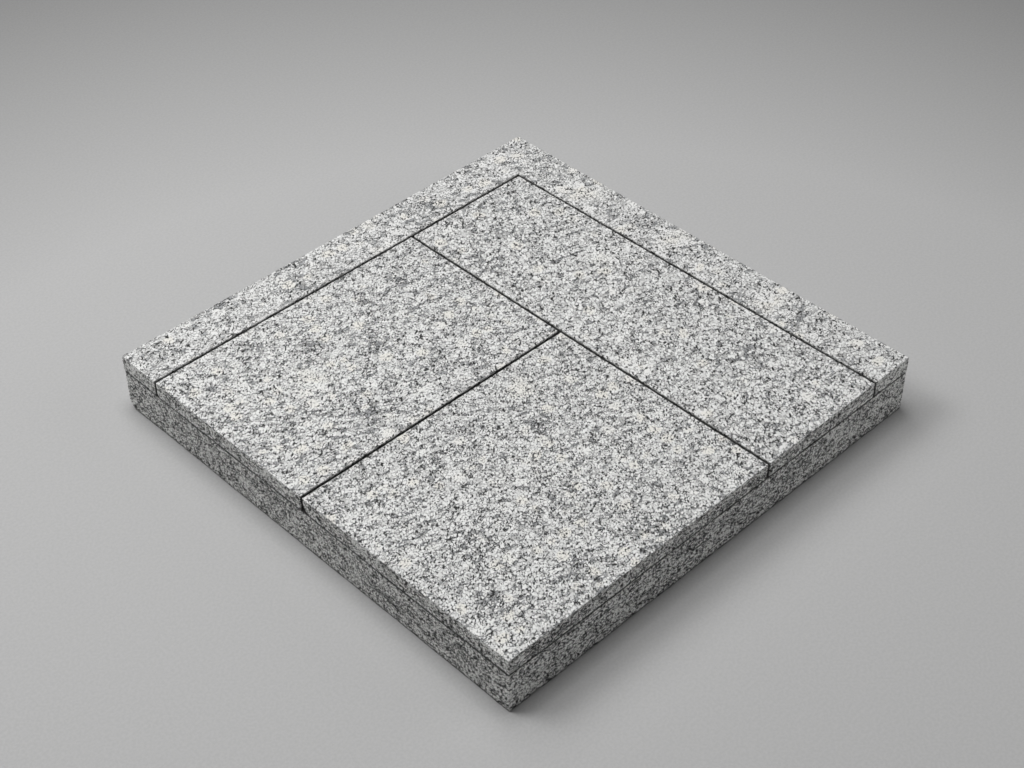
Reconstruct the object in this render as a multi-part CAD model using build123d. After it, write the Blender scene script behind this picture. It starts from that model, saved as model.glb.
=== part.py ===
"""Granite veneer panel: four sawn granite pieces bonded side by side on a thick granite backing slab.

An L-shaped border strip runs along the back and right sides. Inside it lie a long slab beside the strip's right
arm, and a left slab and a front slab that share the rest. Open joints part the four pieces, and a thin bed of
adhesive, held back from the outer faces, leaves the dark seam that runs round the panel's sides.

The origin is the centre of the underside, +Z is up, +X runs to the right and +Y to the back. All in millimetres.
"""

import os

from build123d import *

# Overall plan size
panel_length = 600.0
panel_width = 600.0

# Layers, from the underside up
backing_thickness = 52.0
bed_thickness = 1.0
veneer_thickness = 20.0

# How far the adhesive stays back from the panel's outer faces
bed_setback = 3.0

# Joint pattern of the veneer, seen from above
joint_width = 3.0
border_back_width = 58.5
border_right_width = 56.5
long_slab_width = 172.0
left_slab_depth = 241.0

# Eased edges: the flat taken off the sawn edges of each stone
veneer_arris = 0.8
backing_arris = 1.0

# Heights of the layers
backing_top = backing_thickness
bed_top = backing_top + bed_thickness

# Outer faces of the panel
left_face = -panel_length / 2
right_face = panel_length / 2
front_face = -panel_width / 2
back_face = panel_width / 2

# The field is what the border strip leaves, and its two joints part it into three slabs
border_inner_x = right_face - border_right_width
border_inner_y = back_face - border_back_width
field_right = border_inner_x - joint_width
field_back = border_inner_y - joint_width
long_slab_left = field_right - long_slab_width
narrow_field_right = long_slab_left - joint_width
left_slab_front = field_back - left_slab_depth
front_slab_back = left_slab_front - joint_width


def rectangle(low_x, low_y, high_x, high_y):
    """A rectangle between two corners, on the plan."""
    centre = Location(((low_x + high_x) / 2, (low_y + high_y) / 2))
    return centre * Rectangle(high_x - low_x, high_y - low_y)


def convex_upright_edges(stone):
    """The upright edges at the outward corners: those whose neighbourhood is mostly outside the stone."""
    uprights = stone.edges().filter_by(Axis.Z)
    probe = 0.01
    found = []
    for edge in uprights:
        middle = edge.center()
        around = [
            Vector(middle.X + dx, middle.Y + dy, middle.Z)
            for dx in (-probe, probe)
            for dy in (-probe, probe)
        ]
        inside = sum(stone.is_inside(point) for point in around)
        if inside == 1:
            found.append(edge)
    return found


def sawn_stone(plan, base, thickness, arris):
    """A stone of even thickness, sawn to a plan, with its edges eased all round."""
    stone = extrude(Location((0, 0, base)) * plan, amount=thickness).solid()
    level_edges = stone.edges().filter_by(Axis.Z, reverse=True)
    return chamfer([*level_edges, *convex_upright_edges(stone)], arris)


def backing_slab():
    """The thick slab that carries everything."""
    plan = rectangle(left_face, front_face, right_face, back_face)
    return sawn_stone(plan, 0, backing_thickness, backing_arris)


def adhesive_bed():
    """The thin bed between the slab and the veneer, raked back from the outer faces."""
    plan = rectangle(
        left_face + bed_setback,
        front_face + bed_setback,
        right_face - bed_setback,
        back_face - bed_setback,
    )
    return extrude(Location((0, 0, backing_top)) * plan, amount=bed_thickness)


def border_strip():
    """The L-shaped strip along the back and the right, cut from one stone."""
    whole = rectangle(left_face, front_face, right_face, back_face)
    field = rectangle(left_face, front_face, border_inner_x, border_inner_y)
    return sawn_stone(whole - field, bed_top, veneer_thickness, veneer_arris)


def long_slab():
    """The slab that runs the field's whole depth beside the strip's right arm."""
    plan = rectangle(long_slab_left, front_face, field_right, field_back)
    return sawn_stone(plan, bed_top, veneer_thickness, veneer_arris)


def left_slab():
    """The slab in the field's back left corner."""
    plan = rectangle(left_face, left_slab_front, narrow_field_right, field_back)
    return sawn_stone(plan, bed_top, veneer_thickness, veneer_arris)


def front_slab():
    """The slab at the panel's front left corner, the largest of the three."""
    plan = rectangle(left_face, front_face, narrow_field_right, front_slab_back)
    return sawn_stone(plan, bed_top, veneer_thickness, veneer_arris)


os.makedirs("parts", exist_ok=True)
pieces = {
    "backing_slab": backing_slab(),
    "adhesive_bed": adhesive_bed(),
    "border_strip": border_strip(),
    "long_slab": long_slab(),
    "left_slab": left_slab(),
    "front_slab": front_slab(),
}
for name, piece in pieces.items():
    export_step(piece, f"parts/{name}.step")
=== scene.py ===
"""Finish of the granite veneer panel: worn stones, adhesive bed, granite, floor, lights and camera.

Laid out as an add-on. Each stone is a closed skin on a lattice of plan lines and levels, taken from
its CAD node's box, then eased, chipped and roughened inwards, so it never leaves that box. Lengths
are in metres.
"""

import itertools
import math

import bpy
import numpy as np
from bpy.props import FloatProperty, FloatVectorProperty, IntProperty, PointerProperty
from mathutils import Matrix, Vector


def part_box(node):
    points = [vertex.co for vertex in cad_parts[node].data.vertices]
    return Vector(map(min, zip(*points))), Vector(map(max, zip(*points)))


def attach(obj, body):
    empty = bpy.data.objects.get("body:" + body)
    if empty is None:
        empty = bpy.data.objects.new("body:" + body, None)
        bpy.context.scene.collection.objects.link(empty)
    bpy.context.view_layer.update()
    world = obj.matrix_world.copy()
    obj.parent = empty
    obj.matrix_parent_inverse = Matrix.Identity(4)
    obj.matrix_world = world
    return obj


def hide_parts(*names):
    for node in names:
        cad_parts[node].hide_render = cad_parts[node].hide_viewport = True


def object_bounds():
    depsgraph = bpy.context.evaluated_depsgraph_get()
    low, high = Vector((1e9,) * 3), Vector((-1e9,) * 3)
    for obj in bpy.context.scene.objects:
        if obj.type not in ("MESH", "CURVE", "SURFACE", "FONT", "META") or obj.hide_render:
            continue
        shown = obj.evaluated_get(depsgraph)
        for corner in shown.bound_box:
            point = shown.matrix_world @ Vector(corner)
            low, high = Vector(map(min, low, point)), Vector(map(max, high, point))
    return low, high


bl_info = {
    "name": "Granite veneer panel",
    "version": (1, 0, 0),
    "blender": (4, 5, 0),
    "location": "3D View > Sidebar > Stone",
    "description": "Builds the worn granite stones of a veneer panel and a plain studio round it",
    "category": "Object",
}

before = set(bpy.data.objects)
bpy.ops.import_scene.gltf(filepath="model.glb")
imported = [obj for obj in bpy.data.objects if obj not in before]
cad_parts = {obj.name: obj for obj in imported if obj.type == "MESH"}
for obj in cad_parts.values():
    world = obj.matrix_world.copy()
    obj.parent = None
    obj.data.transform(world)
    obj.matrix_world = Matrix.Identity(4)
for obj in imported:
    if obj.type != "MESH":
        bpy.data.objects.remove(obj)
cad_low, cad_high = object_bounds()

MM = 0.001


# Settings


def length_setting(name, description, default, low=0.0):
    """A length that the user can change."""
    return FloatProperty(
        name=name, description=description, default=default, min=low, unit="LENGTH"
    )


def colour_setting(name, description, default):
    """A colour that the user can change."""
    return FloatVectorProperty(
        name=name,
        description=description,
        default=default,
        subtype="COLOR",
        min=0.0,
        max=1.0,
    )


def angle_setting(name, description, default):
    """An angle that the user can change."""
    return FloatProperty(
        name=name,
        description=description,
        default=default,
        subtype="ANGLE",
        unit="ROTATION",
    )


class StoneSettings(bpy.types.PropertyGroup):
    """How the granite is sawn, worn and coloured."""

    veneer_step: length_setting(
        "Veneer step", "Length of one lattice cell along a veneer edge", 0.00064, 0.0003
    )
    border_step: length_setting(
        "Border step", "Length of one lattice cell along the border strip", 0.00072, 0.0003
    )
    backing_step: length_setting(
        "Backing step", "Length of one lattice cell along the backing slab", 0.0011, 0.0003
    )
    arris: length_setting("Arris", "Radius of a sound sawn edge", 0.00035)
    seam_arris: length_setting(
        "Seam arris", "Radius of the edges beside the adhesive and at the foot", 0.0009
    )
    joint_arris: length_setting("Joint arris", "Radius of the edges along the joints", 0.0010)
    chip: length_setting(
        "Chip", "How much larger the radius is where an edge has chipped", 0.0010
    )
    wander: length_setting(
        "Wander", "How far a sawn face strays inwards from its plane", 0.0005
    )
    face_relief: length_setting("Side relief", "Depth of the roughness on the sides", 0.0003)
    top_relief: length_setting("Top relief", "Depth of the slow waves on the top", 0.00012)
    bump: length_setting("Bump", "Height of the grain's own relief", 0.00025)
    white_feldspar: colour_setting(
        "White feldspar", "Colour of the lightest grains", (0.778, 0.778, 0.769)
    )
    grey_feldspar: colour_setting(
        "Grey feldspar", "Colour of the common light grains", (0.618, 0.618, 0.61)
    )
    side_feldspar: colour_setting(
        "Side feldspar", "Colour of the light grains on the sides", (0.97, 0.97, 0.95)
    )
    quartz: colour_setting(
        "Quartz", "Colour of the mid grey grains", (0.304, 0.301, 0.294)
    )
    mica: colour_setting("Mica", "Colour of the dark flakes", (0.0225, 0.022, 0.0215))
    cream: colour_setting("Cream", "Colour of the warm grains", (0.76, 0.74, 0.69))
    slate: colour_setting(
        "Slate", "Colour of the cool patches of mica", (0.178, 0.187, 0.196)
    )
    # Colour of the painted shade in the seam, along the foot and down the joints, and of the dark
    # spots
    painted_shade_and_spots: colour_setting(
        "Painted Shade And Spots", "Colour of the dirt in the joints", (0.045, 0.045, 0.044)
    )
    adhesive: colour_setting("Adhesive", "Colour of the adhesive", (0.03, 0.03, 0.03))
    sand: colour_setting("Sand", "Colour of the adhesive's sand", (0.09, 0.088, 0.085))
    seed: IntProperty(
        name="Seed", description="Chooses the run of chips and waves", default=7, min=0
    )


class StudioSettings(bpy.types.PropertyGroup):
    """The floor, the lights and the camera."""

    floor_colour: colour_setting("Floor colour", "Colour of the floor", (0.467, 0.466, 0.465))
    # The far floor colour is painted shade, and the heart the middle of a painted pool of light, in
    # place of the lamps' falloff
    floor_painted_shade_colour: colour_setting(
        "Far floor colour", "Colour of the floor at the back", (0.245, 0.2445, 0.243)
    )
    floor_heart: FloatVectorProperty(
        name="Floor heart",
        description="Middle of the light part of the floor",
        default=(-0.2, -0.30),
        size=2,
        unit="LENGTH",
    )
    floor_shading: FloatVectorProperty(
        name="Floor shading",
        description="How far from the heart the floor starts and stops to darken",
        default=(0.86, 1.6),
        size=2,
        unit="LENGTH",
    )
    floor_size: length_setting("Floor size", "Side of the square floor", 14.0, 2.0)
    ambient: FloatProperty(
        name="Ambient",
        description="Strength of the even light from all round",
        default=0.03,
        min=0.0,
    )
    camera_place: FloatVectorProperty(
        name="Camera place",
        description="Where the camera stands",
        default=(-1.0479, -1.08612, 1.36372),
        subtype="TRANSLATION",
        unit="LENGTH",
    )
    camera_heading: angle_setting(
        "Heading", "Direction of the view, clockwise from the panel's +Y", 0.7657
    )
    camera_dip: angle_setting("Dip", "How far the view looks down", 0.7222)
    camera_roll: angle_setting("Roll", "Tilt of the camera about its line of sight", -0.0106)
    lens: FloatProperty(
        name="Lens",
        description="Focal length on a sensor 36 mm wide",
        default=64.86,
        min=1.0,
        unit="CAMERA",
    )


# Noise


def value_noise(points, cell, seed):
    """Smooth noise from 0 to 1: random values on a cubic lattice of that cell.

    They are blended by 3t^2 - 2t^3 on each axis. The lattice is turned out of line with the stone,
    so that its rows don't show along an edge, and it repeats after 64 cells.
    """
    side = 64
    table = np.random.default_rng(seed).random((side, side, side))
    turn = np.array([[0.36, 0.48, -0.80], [-0.80, 0.60, 0.0], [0.48, 0.64, 0.60]])
    place = points @ turn.T / cell
    base = np.floor(place).astype(int)
    part = place - base
    part = part * part * (3 - 2 * part)
    total = np.zeros(len(points))
    for corner in itertools.product((0, 1), repeat=3):
        weight = np.where(corner, part, 1 - part).prod(axis=1)
        index = (base + corner) % side
        total += weight * table[index[:, 0], index[:, 1], index[:, 2]]
    return total


def rough_noise(points, cell, seed, octaves):
    """A sum of value noises, each with half the cell and height of the last, from 0 to 1."""
    heights = 0.5 ** np.arange(octaves)
    layers = [
        value_noise(points, cell * height, seed + number) * height
        for number, height in enumerate(heights)
    ]
    return sum(layers) / heights.sum()


def above(values, threshold):
    """How far values rise above a threshold, from 0 there to 1 at 1."""
    return np.clip((values - threshold) / (1 - threshold), 0, 1)


# Skin of a stone: cells along a block of the top and of the underside, and blocks across the fine rim

TOP_BLOCK = 4
FOOT_BLOCK = 32
RIM_BLOCKS = 2


def lattice_lines(stops, step):
    """Plan lines between stops: even, but crowded to the stops at both ends of each span.

    Each span has a whole number of the underside's blocks. The n cells of an end band lie at
    n * (i / n)^1.7.
    """
    band = TOP_BLOCK * RIM_BLOCKS
    crowd = 1.7
    near = band * (np.arange(band + 1) / band) ** crowd
    lines = [np.array([stops[0]])]
    for low, high in zip(stops[:-1], stops[1:]):
        blocks = max(1, round((high - low) / (step * FOOT_BLOCK)))
        count = blocks * FOOT_BLOCK
        places = np.arange(count + 1, dtype=float)
        places[: band + 1] = near
        places[count - band :] = count - near[::-1]
        lines.append(low + places[1:] * (high - low) / count)
    return np.concatenate(lines)


def levels(low, high, count):
    """Heights crowded to both ends: a share of (1 - cos(pi t)) / 2 and the rest of t."""
    share = 0.8
    t = np.linspace(0, 1, count + 1)
    return low + (high - low) * (share * (1 - np.cos(np.pi * t)) / 2 + (1 - share) * t)


def inside_any(xs, ys, rectangles):
    """Which lattice cells have their centre in one of the rectangles."""
    x = ((xs[1:] + xs[:-1]) / 2)[:, None]
    y = ((ys[1:] + ys[:-1]) / 2)[None, :]
    found = [(x > a) & (x < c) & (y > b) & (y < d) for a, b, c, d in rectangles]
    return np.logical_or.reduce(found)


def shrunk(mask, times):
    """A mask without the cells that touch its outside, corners too, taken off so many times."""
    for _ in range(times):
        wide = np.pad(mask, 1)
        shifts = itertools.product((0, 1, 2), repeat=2)
        rows, columns = mask.shape
        mask = np.logical_and.reduce(
            [wide[i : i + rows, j : j + columns] for i, j in shifts]
        )
    return mask


def block_faces(blocks, size, level, code, upward):
    """Level polygons over whole blocks of cells.

    They have every lattice point on the sides that no other block shares.
    """
    i, j = np.nonzero(blocks)
    wide = np.pad(blocks, 1)
    along = np.arange(size)
    zero, full = np.zeros(size, int), np.full(size, size)
    ring_x = np.concatenate([along, full, size - along, zero])
    ring_y = np.concatenate([zero, along, full, size - along])
    shared = np.stack(
        [wide[i + 1, j], wide[i + 2, j + 1], wide[i + 1, j + 2], wide[i, j + 1]], axis=1
    )
    kept = np.repeat(~shared, size, axis=1)
    kept[:, ::size] = True
    codes = code(i[:, None] * size + ring_x, j[:, None] * size + ring_y, level)
    if not upward:
        codes, kept = codes[:, ::-1], kept[:, ::-1]
    return codes[kept], kept.sum(axis=1)


def wall_faces(mask, level_count, code):
    """Outward quads, from level to level, wherever a cell of the mask has none beside it."""
    wide = np.pad(mask, 1)
    quads = []
    for axis, step in itertools.product((0, 1), (1, -1)):
        beside = np.roll(wide, -step, axis=axis)
        i, j = np.nonzero((wide & ~beside)[1:-1, 1:-1])
        i, j = i[:, None], j[:, None]
        k = np.arange(level_count)[None, :]
        line = 1 if step > 0 else 0
        if axis == 0:
            first, second = (i + line, j), (i + line, j + 1)
        else:
            first, second = (i + 1, j + line), (i, j + line)
        if step < 0:
            first, second = second, first
        quad = [
            code(*first, k),
            code(*second, k),
            code(*second, k + 1),
            code(*first, k + 1),
        ]
        quads.append(np.stack(quad, axis=-1).reshape(-1, 4))
    return np.concatenate(quads)


def skin(xs, ys, zs, rectangles):
    """The closed skin of a stone: its points, the loops of its faces and their numbers of corners.

    Near the walls the top has the lattice's own cells, and further in blocks of them. The underside
    has larger blocks. Points are welded by their lattice place.
    """
    mask = inside_any(xs, ys, rectangles)
    columns, layers = len(ys), len(zs)

    def code(i, j, k):
        return (i * columns + j) * layers + k

    def blocks(size):
        return mask[size // 2 :: size, size // 2 :: size]

    inner = shrunk(blocks(TOP_BLOCK), RIM_BLOCKS)
    rim = mask & ~np.kron(inner, np.ones((TOP_BLOCK, TOP_BLOCK), bool))
    top = layers - 1
    parts = [
        block_faces(rim, 1, top, code, True),
        block_faces(inner, TOP_BLOCK, top, code, True),
        block_faces(blocks(FOOT_BLOCK), FOOT_BLOCK, 0, code, False),
    ]
    walls = wall_faces(mask, top, code)
    parts.append((walls.ravel(), np.full(len(walls), 4)))
    codes, loops = np.unique(
        np.concatenate([part[0] for part in parts]), return_inverse=True
    )
    place, k = codes // layers, codes % layers
    points = np.stack([xs[place // columns], ys[place % columns], zs[k]], axis=1)
    return points, loops, np.concatenate([part[1] for part in parts])


# Wear


def eased(points, rectangles, low, high, radius):
    """Points of a square-edged skin, moved onto one whose edges are round.

    Each point p has its nearest place q in the stone shrunk by the radius r, and moves towards it
    until it is one radius away: p' = q + r (p - q) / |p - q|. The radius may differ between points.
    """
    best = None
    for a, b, c, d in rectangles:
        lowest = np.array([a, b, low]) + radius[:, None]
        highest = np.array([c, d, high]) - radius[:, None]
        core = np.clip(points, lowest, highest)
        away = points - core
        reach = np.linalg.norm(away, axis=1)
        if best is None:
            best, best_reach = core, reach
        else:
            nearer = reach < best_reach
            best = np.where(nearer[:, None], core, best)
            best_reach = np.where(nearer, reach, best_reach)
    away = points - best
    share = np.where(best_reach > radius, radius / np.maximum(best_reach, 1e-9), 1.0)
    return best + away * share[:, None]


def inset(points):
    """How far points lie, on the plan, inside the panel's outer faces."""
    return (np.array(cad_high)[:2] - np.abs(points[:, :2])).min(axis=1)


def wear_radius(points, seam, settings, spalls, seed):
    """Radius of each edge point: 0.6 to 1.5 of the arris by noise, and more where a chip is.

    The joints have their own arris. Within 3 mm of the seam's height or of the foot, the seam's
    arris is blended in. A spall is a place and a size: the radius grows to that size there, and the
    spall is gone two sizes away.
    """
    height = points[:, 2]
    share = np.clip(1 - np.minimum(np.abs(height - seam), height) / (3 * MM), 0, 1)
    arris = np.where(inset(points) > 2 * MM, settings.joint_arris, settings.arris)
    arris += (settings.seam_arris - arris) * share
    worn = arris * (0.6 + 0.9 * value_noise(points, 1.6 * MM, seed))
    small = above(value_noise(points, 2.3 * MM, seed + 11), 0.55)
    large = above(value_noise(points, 6.5 * MM, seed + 12), 0.74)
    radius = worn + settings.chip * (0.75 * small + 1.3 * large)
    for place, size in spalls:
        distance = np.linalg.norm(points - np.array(place), axis=1)
        near = np.clip(2 - distance / size, 0, 1)
        radius = np.maximum(radius, size * near * near * (3 - 2 * near))
    return radius


def wander(points, stops, height, waviness, settings, seed):
    """Moves each wall inwards by slow waves and fine roughness, which fade out 5 mm in from it.

    The move is the waviness times a sum of two noises from 0 up: a slow one as high as the wander,
    and a rougher one as high as the side relief. The top sinks by waves as deep as the top relief.
    """
    reach = 5 * MM
    moved = points.copy()
    slow = above(value_noise(points, 38 * MM, seed + 21), 0.25)
    medium = value_noise(points, 9 * MM, seed + 22)
    fine = rough_noise(points, 2.6 * MM, seed + 23, 2)
    depth = waviness * settings.wander * (0.7 * slow + 0.3 * medium)
    depth += waviness * settings.face_relief * fine
    for axis, row in enumerate(stops):
        for stop, sign in row:
            fade = np.clip(1 - np.abs(points[:, axis] - stop) / reach, 0, 1)
            moved[:, axis] += sign * depth * fade * fade * (3 - 2 * fade)
    on_top = points[:, 2] >= height - 1e-7
    waves = 0.6 * value_noise(points, 26 * MM, seed + 24)
    waves += 0.4 * value_noise(points, 7 * MM, seed + 25)
    moved[:, 2] -= np.where(on_top, settings.top_relief * waves, 0)
    return moved


def make_mesh(name, points, loops, counts):
    """A mesh from arrays: its points, the point at each face corner, and the corners of each face."""
    mesh = bpy.data.meshes.new(name)
    mesh.vertices.add(len(points))
    mesh.vertices.foreach_set("co", points.astype(np.float32).ravel())
    mesh.loops.add(len(loops))
    mesh.loops.foreach_set("vertex_index", loops.astype(np.int32))
    mesh.polygons.add(len(counts))
    starts = np.concatenate([[0], np.cumsum(counts)[:-1]])
    mesh.polygons.foreach_set("loop_start", starts.astype(np.int32))
    mesh.polygons.foreach_set("use_smooth", np.ones(len(counts), bool))
    mesh.update(calc_edges=True)
    if mesh.validate():
        raise RuntimeError(f"the mesh of {name} has faults")
    return mesh


def show(name, mesh, material, node):
    """Adds a piece that rides on the panel and stands for its CAD node."""
    piece = bpy.data.objects.new(name, mesh)
    bpy.context.scene.collection.objects.link(piece)
    piece.data.materials.append(material)
    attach(piece, "root")
    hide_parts(node)


# Dark and pale patches on the top: x, y and reach, in millimetres

DARK_PATCHES = (
    (-86, 132, 16),
    (-147, 164, 12),
    (6, 185, 14),
    (-170, 40, 15),
    (-59, -96, 16),
    (-178, -41, 13),
    (152, 156, 15),
    (94, 135, 14),
    (-223, -167, 17),
    (-109, -190, 15),
    (-82, -274, 16),
    (-174, -270, 17),
    (-262, -236, 15),
    (125, 264, 15),
    (178, -178, 13),
)
PALE_PATCHES = (
    (-178, 124, 17),
    (-243, 166, 15),
    (83, -102, 16),
    (-30, -40, 15),
    (-120, -130, 14),
    (190, 60, 15),
    (270, 160, 17),
    (272, 20, 17),
    (268, -130, 17),
)


# Dark marks and pale breaks on the outer faces; the dark marks are painted shade at the joints' feet
# and along the seam, and dark spots. Place and reach on each axis, in millimetres

# Painted shade at the joints' feet and along the seam, and dark spots
PAINTED_SHADE_AND_DARK_SPOTS = (
    (68, -300, 52, 3.0, 3, 2.4),
    (131, -300, 53, 9, 3, 1.8),
    (49, -300, 41, 4.5, 3, 2.6),
    (137, -300, 45, 2.2, 3, 4.5),
    (118, -300, 41, 1.8, 3, 3.4),
    (-296, -300, 49, 3.0, 3, 2.4),
    (-300, -27, 53.6, 3, 30, 1.6),
    (-300, 244, 52, 3, 4, 2.2),
    (-300, 62, 47, 3, 6, 3.6),
    (-300, 52, 42, 3, 4, 2.4),
    (241.5, -300, 55, 2.0, 3, 3.4),
    (259, -300, 21, 2.4, 3, 3.2),
    (263, -300, 36, 1.8, 3, 2.4),
)
PALE_SCARS = ((-264, -300, 5, 13, 5, 2.5),)

# Where mica gathers on the outer faces: place and reach on each axis, in millimetres

MICA_BANDS = (
    (-225, -300, 61, 60, 6, 7),
    (-60, -300, 62, 40, 6, 6),
    (150, -300, 61, 60, 6, 7),
    (30, -300, 63, 40, 6, 6),
    (-40, -300, 36, 30, 6, 8),
    (120, -300, 30, 26, 6, 10),
    (230, -300, 40, 16, 6, 12),
    (-300, 60, 40, 6, 34, 8),
    (-300, -150, 24, 6, 30, 9),
    (-300, -235, 34, 6, 16, 8),
)


def patch_field(points, patches):
    """The largest exp(-(d / reach)^2) of some patches, with d bent by noise, so none is round."""
    bends = [value_noise(points, 11 * MM, seed) - 0.5 for seed in (301, 302)]
    bent = points[:, :2] + 16 * MM * np.stack(bends, axis=1)
    fields = [
        np.exp(-(((bent - np.array([x, y]) * MM) / (reach * MM)) ** 2).sum(axis=1))
        for x, y, reach in patches
    ]
    return np.max(fields, axis=0)


def spread(points, spots):
    """The largest exp(-(d / reach)^2) of some spots, with a reach of its own along each axis."""
    places = points / MM
    fields = [
        np.exp(-(((places - np.array(spot[:3])) / np.array(spot[3:])) ** 2).sum(axis=1))
        for spot in spots
    ]
    return np.max(fields, axis=0)


def mark_field(points, scars):
    """From 0 far away to 1 in a mark: the marks' spread made steep, with rims torn by noise. The dark
    marks are painted shade and dark spots, the pale ones breaks.
    """
    ragged = 0.5 * value_noise(points, 2.2 * MM, 421)
    return np.clip(3 * (spread(points, scars) - 0.2 - ragged), 0, 1)


def painted_shade_and_spots_field(points, top, seam):
    """Where shade is painted, from 0 to 1: round the seam, along the foot and in the joints, and dark
    spots.

    Round the seam and along the foot it reaches as far as noise says: painted shade in the seam and
    a painted contact shadow along the foot. Down a joint it grows for 3 mm, as painted shade that
    deepens down the open joint. The dark marks add painted shade at the joints' feet and along the
    seam, and dark spots.
    """
    height = points[:, 2]
    beyond_seam = np.maximum(np.abs(height - seam) - 0.5 * MM, 0)
    seam_reach = (0.6 + 0.8 * value_noise(points, 9 * MM, 411)) * MM
    foot_reach = (2.1 + 1.0 * value_noise(points, 6 * MM, 412)) * MM
    # Painted shade in the seam, and a painted contact shadow along the foot
    in_seam = 0.95 * np.clip(1.3 - beyond_seam / seam_reach, 0, 1)
    at_foot = 0.9 * np.clip(1.3 - height / foot_reach, 0, 1)
    # Painted shade down the open joints, darker with depth
    in_joint = (height > seam) * np.clip((inset(points) - 0.3 * MM) / (0.8 * MM), 0, 1)
    in_joint *= np.clip((top - height) / (3.0 * MM), 0, 0.93) ** 1.3
    return np.max([in_seam, at_foot, in_joint, mark_field(points, PAINTED_SHADE_AND_DARK_SPOTS)], axis=0)


def add_fields(mesh, points, top, seam):
    """Stores what the granite reads: the patches, how far down a side points lie, and the painted
    shade and dark spots.
    """
    fields = {
        "dark_patch": np.maximum(
            patch_field(points, DARK_PATCHES), spread(points, MICA_BANDS)
        ),
        "pale_patch": np.maximum(
            patch_field(points, PALE_PATCHES), mark_field(points, PALE_SCARS)
        ),
        "side": np.clip((top - points[:, 2]) / (1.6 * MM), 0, 1),
        # Painted shade at the seam, the foot and in the joints, with dark spots
        "painted_shade_and_spots": painted_shade_and_spots_field(points, top, seam),
    }
    for name, field in fields.items():
        attribute = mesh.attributes.new(name, "FLOAT", "POINT")
        attribute.data.foreach_set("value", field.astype(np.float32))


def wall_stops(rectangles, axis):
    """The places of the walls across an axis, each with the sign of its inward direction."""
    lows = {(rectangle[axis], 1) for rectangle in rectangles}
    highs = {(rectangle[axis + 2], -1) for rectangle in rectangles}
    return sorted(lows | highs)


def add_stone(node, rectangles, step, level_count, spalls=(), waviness=1.0):
    """Builds one worn stone over its rectangles, between the heights of its CAD node."""
    settings = bpy.context.scene.veneer_stone
    seed = settings.seed + 100 * list(ROCK).index(node)
    low, high = (list(corner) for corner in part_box(node))
    stops = [wall_stops(rectangles, axis) for axis in (0, 1)]
    xs, ys = (lattice_lines([place for place, _ in row], step) for row in stops)
    zs = levels(low[2], high[2], level_count)
    points, loops, counts = skin(xs, ys, zs, rectangles)
    bed_low, bed_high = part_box("adhesive_bed")
    seam = (bed_low.z + bed_high.z) / 2
    radius = wear_radius(points, seam, settings, spalls, seed)
    round_points = eased(points, rectangles, low[2], high[2], radius)
    moved = wander(points, stops, high[2], waviness, settings, seed)
    worn = np.clip(round_points + (moved - points), low, high)
    mesh = make_mesh(node, worn, loops, counts)
    add_fields(mesh, points, high[2], seam)
    show(f"{node}_stone", mesh, granite(node), node)


# Materials


def feed(tree, socket, value):
    """Gives a socket a link or a value."""
    if isinstance(value, bpy.types.NodeSocket):
        tree.links.new(value, socket)
    else:
        socket.default_value = value


def add_node(tree, kind, inputs=None, **settings):
    """Adds a shader node, sets its own settings, and gives each named input a value or a link."""
    node = tree.nodes.new(kind)
    for key, value in settings.items():
        setattr(node, key, value)
    for key, value in (inputs or {}).items():
        feed(tree, node.inputs[key], value)
    return node


def maths(tree, operation, first, second=0.0, third=0.0):
    """One step of arithmetic."""
    inputs = {0: first, 1: second, 2: third}
    return add_node(tree, "ShaderNodeMath", inputs, operation=operation).outputs[0]


def ramp(tree, value, low, high, new_low=0.0, new_high=1.0):
    """Smoothly maps a value's range low to high onto a new one, clamped."""
    inputs = {
        "Value": value,
        "From Min": low,
        "From Max": high,
        "To Min": new_low,
        "To Max": new_high,
    }
    node = add_node(
        tree, "ShaderNodeMapRange", inputs, interpolation_type="SMOOTHSTEP", clamp=True
    )
    return node.outputs["Result"]


def blend(tree, factor, first, second):
    """A mix of two colours."""
    node = add_node(tree, "ShaderNodeMix", data_type="RGBA")
    sockets = {socket.identifier: socket for socket in (*node.inputs, *node.outputs)}
    feed(tree, sockets["Factor_Float"], factor)
    feed(tree, sockets["A_Color"], first)
    feed(tree, sockets["B_Color"], second)
    return sockets["Result_Color"]


def noise(tree, place, scale, detail=2.0, roughness=0.5):
    """The factor of a noise texture."""
    inputs = {
        "Vector": place,
        "Scale": scale,
        "Detail": detail,
        "Roughness": roughness,
    }
    return add_node(tree, "ShaderNodeTexNoise", inputs).outputs["Fac"]


def grains(tree, place, scale, feature="F1"):
    """A mosaic of grains: a Voronoi texture."""
    inputs = {"Vector": place, "Scale": scale}
    return add_node(tree, "ShaderNodeTexVoronoi", inputs, feature=feature)


def draws(tree, mosaic):
    """Three random values for each grain of a mosaic."""
    inputs = {"Color": mosaic.outputs["Color"]}
    return add_node(tree, "ShaderNodeSeparateColor", inputs).outputs


def scaled(tree, vector, factor):
    """A vector times a number."""
    inputs = {0: vector, "Scale": factor}
    return add_node(tree, "ShaderNodeVectorMath", inputs, operation="SCALE").outputs[0]


def added(tree, first, second):
    """The sum of two vectors."""
    inputs = {0: first, 1: second}
    return add_node(tree, "ShaderNodeVectorMath", inputs, operation="ADD").outputs[0]


def shifted(tree, place, scale, reach, detail=2.0):
    """A place moved by noise, by up to half the reach on each axis, for crooked outlines."""
    inputs = {"Vector": place, "Scale": scale, "Detail": detail}
    warp = add_node(tree, "ShaderNodeTexNoise", inputs).outputs["Color"]
    centred = added(tree, warp, (-0.5, -0.5, -0.5))
    return added(tree, place, scaled(tree, centred, reach))


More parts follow.
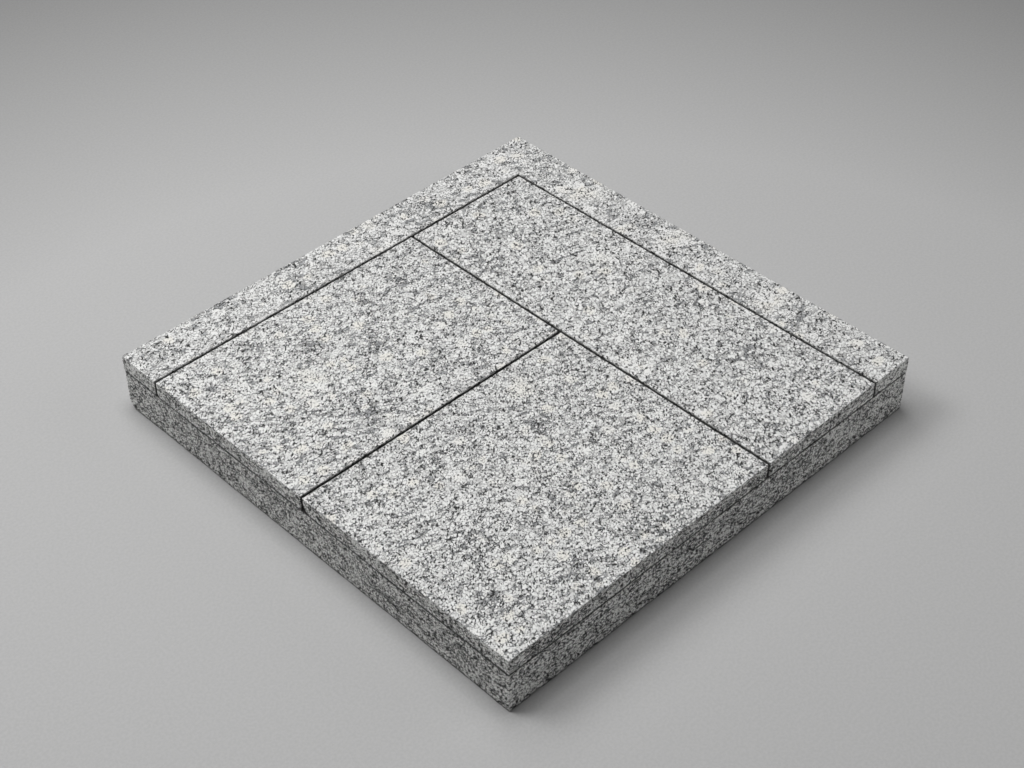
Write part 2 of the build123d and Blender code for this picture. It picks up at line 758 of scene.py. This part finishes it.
def drawn_out(tree, place, turn, length):
    """A place for drawn-out patterns: turned on the plan, longer one way and narrower across it."""
    inputs = {"Vector": place, "Rotation": (0.0, 0.0, turn), "Scale": (length, 0.85, 1.0)}
    return add_node(tree, "ShaderNodeMapping", inputs, vector_type="TEXTURE").outputs[0]


def opaque(colour):
    """A colour with full alpha."""
    return (*colour, 1.0)


def new_material(name):
    """A material, its node tree and the inputs of its shader."""
    material = bpy.data.materials.new(name)
    material.use_nodes = True
    tree = material.node_tree
    return material, tree, tree.nodes["Principled BSDF"].inputs


def add_bump(tree, shader, height, distance, strength):
    """Relief from a height: the distance is how far a height of 1 stands out."""
    inputs = {"Height": height, "Distance": distance, "Strength": strength}
    bump = add_node(tree, "ShaderNodeBump", inputs)
    tree.links.new(bump.outputs["Normal"], shader["Normal"])


def crystals(tree, place):
    """Where pale crystals lie, as hearts of some cells of a coarse mosaic, and how warm each is."""
    coarse = grains(tree, shifted(tree, place, 0.12, 9.0), 0.055)
    draw = draws(tree, coarse)
    heart = ramp(tree, coarse.outputs["Distance"], 0.46, 0.26)
    crystal = maths(tree, "MULTIPLY", heart, ramp(tree, draw[0], 0.30, 0.60))
    return crystal, ramp(tree, draw[1], 0.25, 0.7, 0.1, 0.8)


def richness(tree, bedded, pale, given):
    """How rich the rock is in dark grains: about 0.5, more in bedded clouds and along thin wisps.

    It drifts slowly over the stone, rises with Dark and falls in pale crystals.
    """
    drift = noise(tree, bedded, 0.022, 3.0)
    gather = noise(tree, bedded, 0.13, 4.0, 0.6)
    rich = maths(tree, "SUBTRACT", gather, 0.5)
    rich = maths(tree, "MULTIPLY_ADD", rich, given["Gathering"], 0.497)
    rich = maths(tree, "MULTIPLY_ADD", given["Dark"], 0.14, rich)
    rich = maths(tree, "MULTIPLY_ADD", maths(tree, "SUBTRACT", drift, 0.5), 0.12, rich)
    rich = maths(tree, "MULTIPLY_ADD", pale, -0.13, rich)
    ridge = maths(tree, "SUBTRACT", noise(tree, bedded, 0.085), 0.5)
    thin = ramp(tree, maths(tree, "ABSOLUTE", ridge), 0.035, 0.008)
    wisp = maths(tree, "MULTIPLY", thin, ramp(tree, gather, 0.42, 0.56))
    return maths(tree, "MULTIPLY_ADD", wisp, 0.26, rich)


def feldspar(tree, draw, speckle, pale, warmth, side, settings):
    """The light grains: one value a grain, whiter in pale crystals, cream in the warm ones."""
    whiteness = maths(tree, "MULTIPLY_ADD", pale, 0.35, draw)
    whiteness = maths(tree, "MULTIPLY_ADD", speckle, 0.7, whiteness)
    whiteness = maths(tree, "MULTIPLY_ADD", side, 0.35, whiteness)
    light = blend(
        tree,
        ramp(tree, whiteness, 0.35, 1.25),
        opaque(settings.grey_feldspar),
        opaque(settings.white_feldspar),
    )
    warm = maths(tree, "MULTIPLY", pale, warmth)
    warm = maths(tree, "MULTIPLY", warm, maths(tree, "SUBTRACT", 1.0, side))
    light = blend(tree, warm, light, opaque(settings.cream))
    dusty = maths(tree, "MULTIPLY", side, 0.95)
    return blend(tree, dusty, light, opaque(settings.side_feldspar))


def grain_lines(tree, edges, place, rich):
    """Broken dark lines round the grains, with fewer breaks where the rock is rich."""
    broken = maths(tree, "MULTIPLY_ADD", rich, 0.5, noise(tree, place, 0.45, 1.0))
    broken = ramp(tree, broken, 0.60, 0.80, 0.0, 0.74)
    return maths(tree, "MULTIPLY", ramp(tree, edges, 0.13, 0.04), broken)


def mica_flakes(tree, leaning, edges, rich, given):
    """Small dark flakes, most of them on the edges of the grains."""
    near_edge = ramp(tree, edges, 0.22, 0.03)
    share = given["Mica Share"]
    for factor in (
        ramp(tree, rich, 0.37, 0.68, 0.72, 1.5),
        maths(tree, "MULTIPLY_ADD", near_edge, 1.1, 0.4),
        maths(tree, "MULTIPLY_ADD", given["Side"], 0.85, 1.0),
    ):
        share = maths(tree, "MULTIPLY", share, factor)
    flakes = grains(tree, shifted(tree, leaning, 0.8, 0.8, 1.0), 0.58)
    over = maths(tree, "SUBTRACT", share, draws(tree, flakes)[0])
    return ramp(tree, over, -0.01, 0.03)


def granite_group(settings):
    """The granite that all the stones share.

    Place is in millimetres. Dark and Pale, from 0 to 1, bring more mica or more pale feldspar, Side
    the harder contrast of a sawn side, and the next field the painted shade in the seam, along the
    foot and down the joints, with dark spots. Mica Share is the part of the flakes that are dark, and
    Gathering how strongly dark grains crowd together.
    """
    tree = bpy.data.node_groups.new("granite_grain", "ShaderNodeTree")
    kinds = {"Place": "Vector", "Color": "Color"}
    for in_out, names in (
        ("INPUT", ("Place", "Dark", "Pale", "Side", "Painted Shade And Spots", "Mica Share", "Gathering")),
        ("OUTPUT", ("Color", "Roughness", "Height")),
    ):
        for name in names:
            kind = f"NodeSocket{kinds.get(name, 'Float')}"
            tree.interface.new_socket(name=name, in_out=in_out, socket_type=kind)
    given = tree.nodes.new("NodeGroupInput").outputs
    side = given["Side"]

    # Grains are a quarter larger on the sides
    on_side = maths(tree, "GREATER_THAN", side, 0.5)
    place = scaled(tree, given["Place"], maths(tree, "MULTIPLY_ADD", on_side, -0.2, 1.0))
    bedded = drawn_out(tree, place, -0.3, 1.6)
    leaning = drawn_out(tree, place, 0.8, 1.2)
    crooked = shifted(tree, leaning, 0.55, 2.2)
    speckle = noise(tree, place, 1.1, 2.0, 0.6)

    crystal, warmth = crystals(tree, place)
    pale = maths(tree, "MAXIMUM", crystal, given["Pale"])
    rich = richness(tree, bedded, pale, given)
    grain_scale = 0.31
    draw = draws(tree, grains(tree, crooked, grain_scale))
    edges = grains(tree, crooked, grain_scale, "DISTANCE_TO_EDGE").outputs["Distance"]

    # From light to dark: feldspar, grey quartz, slate where mica gathers most, dark grains, then
    # painted shade and dark spots
    stone = feldspar(tree, draw[0], speckle, pale, warmth, side, settings)
    quartz = maths(tree, "MULTIPLY_ADD", rich, 1.1, draw[1])
    quartz = ramp(tree, quartz, 1.41, 1.46, 0.0, 0.6)
    stone = blend(tree, quartz, stone, opaque(settings.quartz))
    cool = maths(tree, "MULTIPLY_ADD", draw[2], 0.3, rich)
    cool = ramp(tree, cool, 0.75, 0.83, 0.0, 0.7)
    cool = maths(tree, "MULTIPLY", cool, maths(tree, "MULTIPLY_ADD", side, -0.6, 1.0))
    stone = blend(tree, cool, stone, opaque(settings.slate))
    lines = grain_lines(tree, edges, place, rich)
    dark = maths(tree, "MAXIMUM", mica_flakes(tree, leaning, edges, rich, given), lines)
    stone = blend(tree, dark, stone, opaque(settings.mica))
    # Painted shade in the seam, along the foot and down the joints, and dark spots
    colour = blend(tree, given["Painted Shade And Spots"], stone, opaque(settings.painted_shade_and_spots))

    # Dark grains are smoother and lie lower, quartz lies a little lower, and the sides are rougher
    roughness = maths(tree, "MULTIPLY_ADD", dark, -0.16, 0.62)
    height = maths(tree, "MULTIPLY_ADD", dark, -0.6, speckle)
    height = maths(tree, "MULTIPLY_ADD", quartz, -0.2, height)
    relief = maths(tree, "MULTIPLY_ADD", noise(tree, place, 0.55, 3.0), 4.0, height)
    height = maths(tree, "MULTIPLY_ADD", relief, side, height)

    outputs = {"Color": colour, "Roughness": roughness, "Height": height}
    add_node(tree, "NodeGroupOutput", outputs, is_active_output=True)
    return tree


# How each stone's granite is cut: offset in millimetres, turn, mica share, coarseness and gathering

ROCK = {
    "front_slab": ((11.0, 43.0, -12.4), 0.0, 0.166, 1.05, 0.85),
    "left_slab": ((-371.0, 217.0, 44.4), 0.2, 0.163, 1.1, 0.82),
    "long_slab": ((-153.0, 389.0, 62.0), -0.15, 0.129, 1.22, 0.62),
    "border_strip": ((-507.0, 641.0, 158.0), 0.1, 0.103, 1.22, 0.62),
    "backing_slab": ((-83.0, 619.0, 211.0), 0.1, 0.185, 1.0, 0.85),
}


def granite(node):
    """The granite of one stone, cut from its own place in the rock, with grains that lie flat."""
    settings = bpy.context.scene.veneer_stone
    offset, turn, mica_share, coarseness, gathering = ROCK[node]
    group = bpy.data.node_groups.get("granite_grain") or granite_group(settings)
    material, tree, shader = new_material(f"granite_{node}")
    per_metre = 1000.0 / coarseness
    flatness = 1.4
    mapping = {
        "Vector": add_node(tree, "ShaderNodeTexCoord").outputs["Object"],
        "Location": offset,
        "Rotation": (0.0, 0.0, turn),
        "Scale": (per_metre, per_metre, flatness * per_metre),
    }
    inputs = {
        "Place": add_node(tree, "ShaderNodeMapping", mapping).outputs[0],
        "Mica Share": mica_share,
        "Gathering": gathering,
    }
    # The last of these fields carries the painted shade at the seam, the foot and in the joints, with
    # dark spots
    for name, field in (
        ("Dark", "dark_patch"),
        ("Pale", "pale_patch"),
        ("Side", "side"),
        ("Painted Shade And Spots", "painted_shade_and_spots"),
    ):
        reader = add_node(tree, "ShaderNodeAttribute", attribute_name=field)
        inputs[name] = reader.outputs["Fac"]
    grain = add_node(tree, "ShaderNodeGroup", inputs, node_tree=group).outputs
    tree.links.new(grain["Color"], shader["Base Color"])
    tree.links.new(grain["Roughness"], shader["Roughness"])
    shader["Specular IOR Level"].default_value = 0.2
    add_bump(tree, shader, grain["Height"], settings.bump, 0.8)
    return material


def adhesive(settings):
    """Dark grey adhesive with sand in it."""
    material, tree, shader = new_material("adhesive")
    place = add_node(tree, "ShaderNodeTexCoord").outputs["Object"]
    sand = noise(tree, place, 900.0, 3.0)
    colour = blend(tree, sand, opaque(settings.adhesive), opaque(settings.sand))
    tree.links.new(colour, shader["Base Color"])
    shader["Roughness"].default_value = 0.85
    add_bump(tree, shader, sand, 0.3 * MM, 1.0)
    return material


def floor_finish(settings):
    """Matt, faintly mottled floor with painted shade: it darkens away from the near side, in place of
    the lamps' falloff.
    """
    material, tree, shader = new_material("floor")
    place = add_node(tree, "ShaderNodeTexCoord").outputs["Object"]
    away = add_node(
        tree,
        "ShaderNodeVectorMath",
        {0: place, 1: (*settings.floor_heart, 0.0)},
        operation="DISTANCE",
    ).outputs["Value"]
    start, stop = settings.floor_shading
    fall = {"Value": away, "From Min": start, "From Max": stop}
    shade = add_node(tree, "ShaderNodeMapRange", fall).outputs["Result"]
    # Painted shade: the floor darkens away from its heart, a painted pool of light
    colour = blend(
        tree, shade, opaque(settings.floor_colour), opaque(settings.floor_painted_shade_colour)
    )
    mottle = ramp(tree, noise(tree, place, 330.0, 2.0, 0.6), 0.3, 0.7, 0.0, 0.07)
    colour = blend(tree, mottle, colour, opaque((0.0, 0.0, 0.0)))
    tree.links.new(colour, shader["Base Color"])
    shader["Roughness"].default_value = 0.9
    shader["Specular IOR Level"].default_value = 0.2
    return material


# Operators


def box_rectangle(node):
    """A CAD node's plan as one rectangle: low x, low y, high x, high y."""
    low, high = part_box(node)
    return (low.x, low.y, high.x, high.y)


class OBJECT_OT_veneer_stones(bpy.types.Operator):
    """Build the four veneer stones"""

    bl_idname = "object.veneer_stones"
    bl_label = "Veneer stones"

    def execute(self, context):
        settings = context.scene.veneer_stone
        slabs = ("front_slab", "left_slab", "long_slab")
        front, left, long = (box_rectangle(node) for node in slabs)
        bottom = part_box("front_slab")[0].z
        joint = long[0] - front[2]

        # Spalls at the joints' lower ends and on the long slab's lower edge: place and size
        spalls = {
            "front_slab": (
                ((front[0], front[3], bottom), 5.5 * MM),
                ((front[2], front[1], bottom), 3.0 * MM),
            ),
            "left_slab": (((left[0], left[3], bottom), 2.5 * MM),),
            "long_slab": (((long[0] + 66 * MM, long[1], bottom), 2.4 * MM),),
        }
        for node in slabs:
            add_stone(
                node,
                [box_rectangle(node)],
                settings.veneer_step,
                level_count=18,
                spalls=spalls[node],
            )

        low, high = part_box("border_strip")
        inner_x, inner_y = long[2] + joint, long[3] + joint
        arms = [
            (low.x, inner_y, high.x, high.y),
            (inner_x, low.y, high.x, high.y),
        ]
        add_stone("border_strip", arms, settings.border_step, level_count=16)
        return {"FINISHED"}


class OBJECT_OT_backing_stone(bpy.types.Operator):
    """Build the backing slab"""

    bl_idname = "object.backing_stone"
    bl_label = "Backing stone"

    def execute(self, context):
        settings = context.scene.veneer_stone
        low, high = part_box("backing_slab")

        # Spalls at the foot, in the front face and at the far end of the left face: place and size
        spalls = (
            ((-264 * MM, low.y, low.z), 4.5 * MM),
            ((low.x, high.y, low.z), 5.0 * MM),
        )
        add_stone(
            "backing_slab",
            [box_rectangle("backing_slab")],
            settings.backing_step,
            level_count=26,
            spalls=spalls,
            waviness=2.0,
        )
        return {"FINISHED"}


class OBJECT_OT_adhesive_bed(bpy.types.Operator):
    """Build the adhesive bed, with an uneven edge"""

    bl_idname = "object.adhesive_bed"
    bl_label = "Adhesive bed"

    def execute(self, context):
        settings = context.scene.veneer_stone
        low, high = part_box("adhesive_bed")
        plan = [box_rectangle("adhesive_bed")]
        xs = lattice_lines([low.x, high.x], 4 * settings.backing_step)
        ys = lattice_lines([low.y, high.y], 4 * settings.backing_step)
        zs = np.linspace(low.z, high.z, 3)
        points, loops, counts = skin(xs, ys, zs, plan)

        # The edge is raked back by up to 1.5 mm more, by noise
        depth = 1.5 * MM * value_noise(points, 14 * MM, settings.seed + 51)
        for axis in (0, 1):
            for stop, sign in wall_stops(plan, axis):
                at_wall = np.abs(points[:, axis] - stop) < 1e-6
                points[:, axis] += np.where(at_wall, sign * depth, 0)
        mesh = make_mesh("adhesive_bed", points, loops, counts)
        finish = adhesive(settings)
        show("adhesive_bed_layer", mesh, finish, "adhesive_bed")
        return {"FINISHED"}


# The soft lamps: name, place and side of the lamp in metres, power in watts

LAMPS = (
    ("overhead_lamp", (0.0, 0.0, 2.6), 0.8, 20.5),
    ("left_lamp", (-1.29, 1.24, 2.556), 1.2, 36.0),
    ("back_lamp", (-0.022, 1.099, 2.356), 2.0, 30.5),
    ("right_fill", (1.70, -1.63, 1.10), 2.0, 13.2),
)


def add_lamp(name, place, size, power):
    """A square soft light that looks at the middle of the panel's underside."""
    data = bpy.data.lights.new(name, "AREA")
    data.shape = "SQUARE"
    data.size = size
    data.energy = power
    lamp = bpy.data.objects.new(name, data)
    bpy.context.scene.collection.objects.link(lamp)
    lamp.location = place
    lamp.rotation_euler = (-Vector(place)).to_track_quat("-Z", "Y").to_euler()


def add_floor(settings):
    """A square floor at the height of the panel's underside."""
    half = settings.floor_size / 2
    corners = [(-half, -half, 0), (half, -half, 0), (half, half, 0), (-half, half, 0)]
    mesh = bpy.data.meshes.new("floor")
    mesh.from_pydata(corners, [], [(0, 1, 2, 3)])
    floor = bpy.data.objects.new("floor", mesh)
    bpy.context.scene.collection.objects.link(floor)
    floor.data.materials.append(floor_finish(settings))


def add_camera(settings):
    """The camera, turned by its heading, then its dip, then its roll."""
    data = bpy.data.cameras.new("camera")
    data.sensor_width = 36.0
    data.lens = settings.lens
    data.clip_end = 50.0
    camera = bpy.data.objects.new("camera", data)
    bpy.context.scene.collection.objects.link(camera)
    heading, dip, roll = (
        settings.camera_heading,
        settings.camera_dip,
        settings.camera_roll,
    )
    forward = Vector(
        (
            math.sin(heading) * math.cos(dip),
            math.cos(heading) * math.cos(dip),
            -math.sin(dip),
        )
    )
    level = Vector((math.cos(heading), -math.sin(heading), 0.0))
    rise = level.cross(forward)
    right = math.cos(roll) * level + math.sin(roll) * rise
    up = -math.sin(roll) * level + math.cos(roll) * rise
    turn = Matrix((right, up, -forward)).transposed()
    camera.matrix_world = Matrix.Translation(settings.camera_place) @ turn.to_4x4()
    return camera


class SCENE_OT_panel_studio(bpy.types.Operator):
    """Lay the floor and set the lights and the camera"""

    bl_idname = "scene.panel_studio"
    bl_label = "Studio"

    def execute(self, context):
        settings = context.scene.veneer_studio
        add_floor(settings)
        world = bpy.data.worlds.new("studio")
        world.use_nodes = True
        background = world.node_tree.nodes["Background"]
        background.inputs["Color"].default_value = (1.0, 1.0, 1.0, 1.0)
        background.inputs["Strength"].default_value = settings.ambient
        context.scene.world = world
        for lamp in LAMPS:
            add_lamp(*lamp)
        context.scene.camera = add_camera(settings)
        context.scene.view_settings.view_transform = "Standard"
        return {"FINISHED"}


OPERATORS = (
    OBJECT_OT_veneer_stones,
    OBJECT_OT_backing_stone,
    OBJECT_OT_adhesive_bed,
    SCENE_OT_panel_studio,
)


class VIEW3D_PT_veneer_panel(bpy.types.Panel):
    """The panel's pieces and studio"""

    bl_idname = "VIEW3D_PT_veneer_panel"
    bl_label = "Granite veneer panel"
    bl_space_type = "VIEW_3D"
    bl_region_type = "UI"
    bl_category = "Stone"

    def draw(self, context):
        for operator in OPERATORS:
            self.layout.operator(operator.bl_idname)


CLASSES = (StoneSettings, StudioSettings, *OPERATORS, VIEW3D_PT_veneer_panel)


def register():
    """Registers the classes and hangs the settings on the scene."""
    for item in CLASSES:
        bpy.utils.register_class(item)
    bpy.types.Scene.veneer_stone = PointerProperty(type=StoneSettings)
    bpy.types.Scene.veneer_studio = PointerProperty(type=StudioSettings)


def unregister():
    """Takes the settings off the scene and unregisters the classes."""
    del bpy.types.Scene.veneer_studio
    del bpy.types.Scene.veneer_stone
    for item in reversed(CLASSES):
        bpy.utils.unregister_class(item)


def main():
    """Builds the pieces and the studio."""
    register()
    bpy.ops.object.veneer_stones()
    bpy.ops.object.backing_stone()
    bpy.ops.object.adhesive_bed()
    bpy.ops.scene.panel_studio()


if __name__ == "__main__":
    main()
